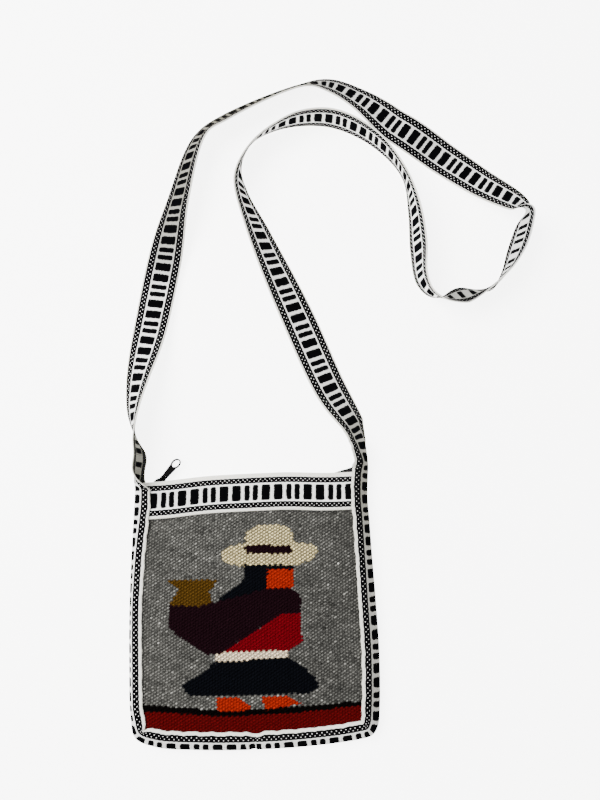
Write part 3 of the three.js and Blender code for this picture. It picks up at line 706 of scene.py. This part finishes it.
def woolYarn():
    look = yarnLook
    material, start, shader = newMaterial("woolYarn", {"Roughness": 1.0, "Specular IOR Level": 0.02})
    tint = attribute(start, "tint", 0)
    depth = attribute(start, "tint", 3)
    crown = attribute(start, "crown", 2)
    spot = objectPlace(start)
    drawn = start.make("ShaderNodeMapping", None,
                       {"Vector": spot, "Rotation": (0, 0, look["lean"]), "Scale": look["stretch"]})
    fibre = noise(start, drawn, *look["fibre"])
    fleck = noise(start, spot, *look["fleck"])
    valley = 1 - depth * look["valley"] * (1 - crown.ease(*look["crown"]))  # painted shade, darker between the floats
    tone = look["tone"] + look["fibre share"] * fibre + look["fleck share"] * (fleck - 0.5)
    tone = tone.low(look["brightest"]) * valley
    grey = start.make("ShaderNodeCombineColor", None, {0: tone, 1: tone, 2: tone})
    dark = start.make("ShaderNodeMix", {"data_type": "RGBA", "blend_type": "MULTIPLY"},
                      {0: 1.0, 6: tint, 7: grey}, 2)
    plug(dark, shader, "Base Color")
    plugBump(fibre, shader, strength=0.8, distance=0.4 * mm)
    return material


def woolGround():  # cloth between the floats, in shade
    look = groundLook
    material, start, shader = newMaterial("woolGround", {"Roughness": 1.0, "Specular IOR Level": 0.02})
    grain = noise(start, objectPlace(start), *look["grain"])
    # painted shade: the ground is a darker copy of its yarn's colour, darker still where the yarn's depth is
    # greater
    tone = look["tone"] + look["grain share"] * grain - look["depth"] * attribute(start, "tint", 3)
    plug(tone.blend((0, 0, 0, 1), attribute(start, "tint", 0)), shader, "Base Color")
    plugBump(grain, shader, strength=0.5, distance=0.6 * mm)
    return material


yarns = {  # colour of each yarn, and how much painted shade darkens it between its floats
    "grey": ((93, 92, 88), 0.73), "cream": ((232, 214, 161), 1.0), "belt": ((246, 224, 190), 0.75),
    "orange": ((136, 26, 7), 0.25), "red": ((87, 4, 14), 0.1), "stripe": ((71, 6, 8), 0.15),
    "plum": ((20, 6, 11), 0.2), "navy": ((6, 7, 11), 0.2), "ochre": ((71, 49, 14), 0.5),
    "black": ((6, 4, 4), 0.5),
}

# The chart, laid down in this order: colour and corners, in millimetres on the panel

chart = [
    ("cream", [(-9, 48), (-8.6, 60.4), (-6.2, 63.4), (0.7, 66.6), (5, 68), (19, 68), (23.5, 66.6),
               (28.8, 63.4), (31.2, 60.4), (32.2, 53), (31, 48)]),
    ("cream", [(-27.8, 39.5), (-27.8, 45), (-24, 49), (-17, 51), (-9, 53), (31, 53), (46, 52), (53, 47),
               (47, 39), (34, 35), (5, 33), (-13, 33.5), (-25, 36.5)]),
    ("plum", [(-9, 51), (30, 51), (30, 44), (-9, 44)]),
    ("navy", [(-10, 35), (32, 35), (32, 31), (10, 31), (10, 15.5), (-33, 4.5), (-9, 23.5)]),
    ("orange", [(10, 31), (32, 31), (32, 16), (10, 16)]),
    ("plum", [(-71, 2), (-33, 4.5), (10, 15.5), (28, 16), (35, 13), (38, 7), (38, -4), (21.5, -5),
              (-29, -36.5), (-39, -38), (-71, -17), (-72, -9)]),
    ("ochre", [(-74, 22.5), (-30.5, 22.5), (-38.5, 13), (-35.5, 5), (-46, 1), (-72, 2), (-63.6, 14)]),
    ("red", [(21.5, -5), (38, -4), (39, -28), (27, -34), (-24, -35), (-29.5, -37)]),
    ("navy", [(-32, -43), (28, -39), (46, -52), (52, -60), (52, -64), (44, -68), (-51, -70), (-56, -67),
              (-60, -61), (-42, -51)]),
    ("belt", [(-33, -38), (-24, -35), (27, -34), (28, -39), (-28, -43), (-32, -43)]),
    ("stripe", [(-110, -79), (-26, -83), (37, -79), (110, -73), (110, -120), (-110, -120)]),
    ("black", [(-110, -77), (-91, -77), (-26, -81.5), (37, -78), (89, -74), (110, -73), (110, -76.2),
               (89, -77.2), (37, -82.8), (-26, -86.2), (-91, -82), (-110, -82)]),
    ("orange", [(-31, -71), (-12, -71), (-1, -81), (-30, -82)]),
    ("orange", [(6, -70), (26, -70), (39, -76), (8, -81)]),
]

heatherAndShade = {
    "spread": 0.24, "chart spread": 0.08, "cream spread": 0.1, "cloud": 0.16, "waves": (9, 7, 1.7, 5.3, 23),
    # right shade: painted shade, the grey wool up to 15% darker from x 0 to 80 mm
    "right shade": 0.15, "right": (0, 80), "light": (0.955, 2.0), "dark": (0.06, 0.5),
}

tapestry = {
    "float": 4.55, "pick": 1.36, "rows": (-106, 92), "columns": (-104, 104), "stray": (0.16, 0.07),
    "sway": (0.5, 11), "sag": (2.2, 90), "sag from": (-60, 80), "slope": (0.048, 0.026),
    "lean": (27.0, 5), "sizes": ((2.05, 0.05), (1.5, 0.08), (2.8, 0.05)),  # width, rise, length; spread
    "inset": 9.2, "under band": 4.0, "sunk": 0.3,
}

groundForm = {
    "figured grid": 120, "plain grid": 60, "bottom": -103, "top": 83, "inset": 8.5, "under band": 6,
    "face": 0.45, "back": 2.0, "flat": (0.19, 0.185),
}

sideEdges = {
    "left": ((-86, -43, 0, 45, 90), (-100.9, -103.4, -104.6, -104.3, -103.2)),
    "right": ((-80, -40, 5, 45, 72, 92), (101.7, 102.1, 99.8, 97.0, 95.3, 93.9)),
    "bottom": ((-80, -45, 0, 45, 85), (-109.9, -112.2, -111.9, -109.1, -103.9)),
}


def insideShape(x, y, corners):
    inside = np.zeros(x.shape, bool)
    for (x0, y0), (x1, y1) in zip(corners, corners[1:] + corners[:1]):
        if y0 == y1:
            continue
        crosses = (y0 > y) != (y1 > y)
        inside ^= crosses & (x < (x1 - x0) * (y - y0) / (y1 - y0) + x0)
    return inside


def panelEdge(side, along):
    return np.interp(along, *sideEdges[side])


def surfaceFrames(x, y, level, lean):  # across, normal and along of each float on the cloth
    step = 0.5
    dx = (level(x + step, y) - level(x - step, y)) / (2 * step)
    dy = (level(x, y + step) - level(x, y - step)) / (2 * step)
    normal = unit(np.stack([-dx, -dy, np.ones_like(dx)], -1))
    along = unit(np.stack([np.cos(lean), np.sin(lean), dx * np.cos(lean) + dy * np.sin(lean)], -1))
    return np.stack([np.cross(normal, along), normal, along], -1)


def weaveFloats():  # places of the floats on a panel, row by row
    rows = np.arange(*tapestry["rows"], tapestry["pick"])
    columns = np.arange(*tapestry["columns"], tapestry["float"])
    strayX, strayY = tapestry["stray"]
    sway, swayRun = tapestry["sway"]
    sag, sagHalf = tapestry["sag"]
    slope, slopeLoss = tapestry["slope"]
    y, x = np.meshgrid(rows, columns, indexing="ij")
    odd = (np.arange(len(rows)) % 2)[:, None]
    x = x + odd * tapestry["float"] / 2 + rng.normal(0, strayX, x.shape)
    x = x + sway * np.sin(rows / swayRun)[:, None]
    low = easeStep(-y, *tapestry["sag from"])
    fall = sag * low * (1 - (x / sagHalf) ** 2)
    y = y + (slope - slopeLoss * low) * x - fall + rng.normal(0, strayY, x.shape)
    inset = tapestry["inset"]
    keep = (x > panelEdge("left", y) + inset) & (x < panelEdge("right", y) - inset)
    keep &= (y > panelEdge("bottom", x) + inset) & (y < bandLowEdge(x) + tapestry["under band"])
    return x[keep], y[keep]


def yarnTints(x, y, figured):
    def shade(colour, spread):
        base = np.array(linear(*yarns[colour][0]))
        return base[None, :] * np.exp(rng.normal(0, spread, len(x)))[:, None]
    h = heatherAndShade
    waveX, waveY, bend, slowY, slowX = h["waves"]
    cloud = np.sin(x / waveX + np.sin(y / waveY) * bend) * np.cos(y / slowY + x / slowX)
    # random clouds of heather tone, and painted shade: the grey wool darker towards the right
    light = 1 + h["cloud"] * cloud - h["right shade"] * easeStep(x, *h["right"])
    tints = shade("grey", h["spread"]) * light[:, None]
    fleck = rng.random(len(x))
    above, brighter = h["light"]
    below, darker = h["dark"]
    tints[fleck > above] *= brighter
    tints[fleck < below] *= darker
    # the fourth value says how much painted shade falls between the floats of each colour
    depth = np.full(len(x), yarns["grey"][1])
    if figured:
        for colour, corners in chart:
            hit = insideShape(x, y, corners)
            spread = h["cream spread"] if colour == "cream" else h["chart spread"]
            tints[hit] = shade(colour, spread)[hit]
            depth[hit] = yarns[colour][1]
    tints[:, 3] = depth
    return np.clip(tints, 0, 1)


def tapestryPanel(name, node, outer, outwards, figured):
    form = groundForm
    grid = form["figured grid"] if figured else form["plain grid"]
    rows = np.linspace(0, 1, grid)[:, None]
    share = np.linspace(0, 1, grid)[None, :]
    yGuess = form["bottom"] + (form["top"] - form["bottom"]) * rows
    left = panelEdge("left", yGuess) + form["inset"]
    right = panelEdge("right", yGuess) - form["inset"]
    x = left * (1 - share) + right * share
    y = (panelEdge("bottom", x) + form["inset"]) * (1 - rows) + (bandLowEdge(x) + form["under band"]) * rows
    upper, lower = (np.stack([x, y, outer(x, y) - form[key] * outwards], -1) * mm
                    for key in ("face", "back"))
    paint = yarnTints(x.ravel(), y.ravel(), figured)
    ground = sheetPiece(name + "_ground", upper, lower, np.stack([x, y], -1), groundMaterial, False, paint)
    fx, fy = weaveFloats()
    lean, leanSpread = tapestry["lean"]
    turns = np.radians(lean + rng.normal(0, leanSpread, fx.shape)) * outwards
    frames = surfaceFrames(fx, fy, outer, turns)
    places = np.stack([fx, fy, outer(fx, fy) - tapestry["sunk"] * outwards], -1) * mm
    sizes = [size * rng.normal(1, spread, fx.shape) for size, spread in tapestry["sizes"]]
    tints = yarnTints(fx, fy, figured)
    yarn = beads(name + "_floats", places, frames, np.stack(sizes, -1) * mm, yarnMaterial, tints)
    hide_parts(node)
    for piece in (ground, yarn):
        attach(piece, "bag")
    print(name, len(fx), "floats")


yarnMaterial = woolYarn()
groundMaterial = woolGround()
tapestryPanel("front_tapestry", "front_panel", frontLevel, 1.0, True)
tapestryPanel("back_tapestry", "back_panel", backLevel, -1.0, False)


# Zip: tapes, teeth, slider and pull

zipLook = {
    # tape: its colours in the grooves and on the ribs; the grooves are darker, painted shade
    "tape": ((5, 5, 6), (20, 20, 22)), "tape rib": 0.748, "tape weave": 1.1, "weave share": 0.4,
    "plastic": ((8, 8, 9), (34, 34, 37)), "plastic grain": (1500.0, 2.0), "plastic rough": (0.35, 0.25),
    "metal": ((4, 4, 4), (34, 34, 34)), "metal grain": (420.0, 4.0, 0.6), "metal rough": (0.6, 0.25),
    "worn": (0.66, 0.82),
}


def tapeCloth():
    look = zipLook
    material, start, shader = newMaterial("tapeCloth", {"Roughness": 0.9, "Specular IOR Level": 0.2})
    along, across = clothPlace(start)
    weave = 1 - look["weave share"] + look["weave share"] * across.wave(look["tape weave"])
    rib = (along / look["tape rib"]).ridge() * weave
    # painted shade: the tape is darker in the grooves between its ribs
    plug(rib.blend(*(linear(*colour) for colour in look["tape"])), shader, "Base Color")
    plugBump(rib, shader, strength=0.6, distance=0.3 * mm)
    return material


def zipPlastic():
    material, start, shader = newMaterial("zipPlastic", {})
    grain = noise(start, objectPlace(start), *zipLook["plastic grain"])
    rough, share = zipLook["plastic rough"]
    plug(grain.blend(*(linear(*colour) for colour in zipLook["plastic"])), shader, "Base Color")
    plug(rough + share * grain, shader, "Roughness")
    return material


def blackMetal():  # painted, so it barely shines
    material, start, shader = newMaterial("blackMetal", {"Specular IOR Level": 0.03})
    grain = noise(start, objectPlace(start), *zipLook["metal grain"])
    rough, share = zipLook["metal rough"]
    worn = grain.ease(*zipLook["worn"])
    plug(worn.blend(*(linear(*colour) for colour in zipLook["metal"])), shader, "Base Color")
    plug(rough + share * grain, shader, "Roughness")
    return material


zipForm = {
    "front": (-88.0, 86.0), "back": (-78.5, 74.0), "chain": (-81.5, 76.0), "level": 4.8, "half": 1.6,
    "gap": 0.25, "behind": 1.6, "turn": (50.0, 98.0, 9.7), "swing": (84.0, 2.4, 5.5), "deep": 12.5,
    "thick": 0.9, "tape rows": 110, "tape width": 11, "front sunk": 0.6, "back lift": 2.3,
    "fold": ((1.6, 0), (0.9, 0.1), (0.48, 0.3), (0, 0.65), (0, 1)),  # before the edge; share towards the tip
    "pitch": 1.25, "stagger": 0.35, "tooth": (1.9, 1.15, 2.5), "core pitch": 3.0, "core": (1.2, 1.7, 4.6),
    "bead": (8, 6),  # sides around and from end to end
    "hinge": (-80.3, 106.7825, 6.4), "axis": (0.7118891, -0.4354037, 0.5510331),
    "lug": (0.95, 2.95, 0.95), "lug sides": 36,  # inner and outer radius, half width
    "weld": 1e-6, "bevel steps": 2, "bevel angle": 35, "slider bevel": 0.25 * mm, "pull bevel": 0.22 * mm,
}


def zipLine(x):
    start, end, out = zipForm["turn"]
    middle, half, leftOut = zipForm["swing"]  # the slider pushes the tape out
    swing = out * easeStep(x, start, end) + leftOut * np.exp(-((x + middle) / half / 2) ** 2)
    return topEdge(x) - zipForm["behind"] + swing


def zipTape(name, node, ends, flatAt, chainSide):
    x = np.linspace(*ends, zipForm["tape rows"])
    y = zipLine(x)
    sewn = topEdge(x) - zipForm["deep"]
    halfway = (sewn + y) / 2
    level = flatAt(x, topEdge(x))
    tip = zipForm["level"] + chainSide * (zipForm["half"] + zipForm["gap"])
    line = [(sewn, flatAt(x, sewn)), (halfway, flatAt(x, halfway))]
    line += [(y - before, level * (1 - share) + tip * share) for before, share in zipForm["fold"]]
    middle = np.stack([np.stack([x, *point], -1) for point in line], 1)
    along = np.gradient(middle, axis=1)
    along[:, -1] = (0, 0, -chainSide)
    away = np.stack([0 * along[..., 0], -along[..., 2], along[..., 1]], -1)
    away = unit(away) * zipForm["thick"] / 2
    columns = np.linspace(0, zipForm["tape width"], len(line))
    uv = np.stack(np.broadcast_arrays(x[:, None], columns[None, :]), -1)
    piece = sheetPiece(name, (middle + away) * mm, (middle - away) * mm, uv, tapeMaterial)
    dress(piece, node)


def chainRow(x, level, axes, size):  # places, frames and sizes of one kind of bead along the chain
    places = np.stack([x, zipLine(x), 0 * x + level], -1) * mm
    return places, np.tile(np.array(axes, float), (len(x), 1, 1)), np.tile(size, (len(x), 1)) * mm


def zipTeeth():
    teeth = np.arange(*zipForm["chain"], zipForm["pitch"])
    core = np.arange(*zipForm["chain"], zipForm["core pitch"])
    side = np.where(np.arange(len(teeth)) % 2, 1.0, -1.0)
    level = zipForm["level"]
    standing = ((0, 1, 0), (1, 0, 0), (0, 0, -1))
    lying = ((0, 0, 1), (1, 0, 0), (0, 1, 0))
    rows = (chainRow(teeth, level + zipForm["stagger"] * side, standing, zipForm["tooth"]),
            chainRow(core, level, lying, zipForm["core"]))
    places, frames, sizes = (np.concatenate(column) for column in zip(*rows))
    piece = beads("zip_teeth", places, frames, sizes, plasticMaterial, None, *zipForm["bead"])
    dress(piece, "zip_chain")


def softened(name, node, body, width):  # a metal piece with its edges rounded off
    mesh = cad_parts[node].data.copy()
    mesh.materials.clear()
    mesh.materials.append(metalMaterial)
    piece = bpy.data.objects.new(name, mesh)
    bpy.context.collection.objects.link(piece)
    weld = piece.modifiers.new("weld", "WELD")
    weld.merge_threshold = zipForm["weld"]
    bevel = piece.modifiers.new("bevel", "BEVEL")
    bevel.width = width
    bevel.segments = zipForm["bevel steps"]
    bevel.limit_method = "ANGLE"
    bevel.angle_limit = math.radians(zipForm["bevel angle"])
    graph = bpy.context.evaluated_depsgraph_get()
    done = bpy.data.meshes.new_from_object(piece.evaluated_get(graph), depsgraph=graph)
    piece.modifiers.clear()
    piece.data = done
    dress(piece, node, body)


def sliderLug():  # fills the staple that the pull turns in
    inner, outer, half = zipForm["lug"]
    hinge, axis = np.array(zipForm["hinge"]), np.array(zipForm["axis"])
    first = unit(np.cross(axis, (0, 0, 1)))
    second = np.cross(axis, first)
    count = zipForm["lug sides"]
    turn = np.linspace(0, 2 * math.pi, count, endpoint=False)[:, None]
    spoke = np.cos(turn) * first + np.sin(turn) * second
    loops = [hinge + spoke * reach + axis * side for reach, side in
             ((inner, -half), (outer, -half), (outer, half), (inner, half))]
    here = np.arange(count)
    after = (here + 1) % count
    faces = []
    for k in range(len(loops)):
        a, b = k * count, (k + 1) % len(loops) * count
        faces.append(np.stack([a + here, a + after, b + after, b + here], -1))
    points = np.concatenate(loops) * mm
    piece = addMesh("zip_slider_lug", points, np.concatenate(faces).tolist(), metalMaterial, smooth=False)
    dress(piece, "zip_slider")


tapeMaterial = tapeCloth()
plasticMaterial = zipPlastic()
metalMaterial = blackMetal()
zipTape("zip_front_tape", "zip_tape_front", zipForm["front"],
        lambda x, y: frontLevel(x, y) - zipForm["front sunk"], 1)
zipTape("zip_back_tape", "zip_tape_back", zipForm["back"],
        lambda x, y: backLift(x, y) + zipForm["back lift"], -1)
zipTeeth()
softened("zip_slider_body", "zip_slider", "bag", zipForm["slider bevel"])
sliderLug()
softened("zip_pull_tab", "zip_pull", "zip_pull", zipForm["pull bevel"])
print("zip made")


# Floor and light

studio = {
    "floor": ((246, 245, 243), (250, 249, 247)), "mottle": 3.0, "reach": 4.0, "glow": 5.5, "sky": 0.9,
    "lights": {  # place, size, power, and turn about x and y in degrees
        "keyLight": ((-0.9, 0.55, 1.4), 1.4, 88.0, (-16, -33)),
        "fillLight": ((0.9, -0.2, 1.2), 1.2, 3.0, (12, 34)),
    },
}

floorMaterial, floorStart, floorShader = newMaterial("paleFloor", {
    "Roughness": 0.9, "Specular IOR Level": 0.1, "Emission Color": (1, 1, 1, 1),
    "Emission Strength": studio["glow"]})
floorTone = noise(floorStart, objectPlace(floorStart), studio["mottle"])
plug(floorTone.blend(*(linear(*colour) for colour in studio["floor"])), floorShader, "Base Color")
reach = studio["reach"]
floorCorners = [(-reach, -reach, 0), (reach, -reach, 0), (reach, reach, 0), (-reach, reach, 0)]
floor = addMesh("floor", floorCorners, [(0, 1, 2, 3)], floorMaterial, smooth=False)

world = bpy.data.worlds.new("studioSky")
world.use_nodes = True
backdrop = world.node_tree.nodes["Background"]
backdrop.inputs[0].default_value = (1, 1, 1, 1)
backdrop.inputs[1].default_value = studio["sky"]
bpy.context.scene.world = world

for name, (place, size, power, turn) in studio["lights"].items():
    lampData = bpy.data.lights.new(name, "AREA")
    lampData.shape = "DISK"
    lampData.size = size
    lampData.energy = power
    lamp = bpy.data.objects.new(name, lampData)
    lamp.location = place
    lamp.rotation_euler = (math.radians(turn[0]), math.radians(turn[1]), 0)
    bpy.context.collection.objects.link(lamp)
print("studio lit")
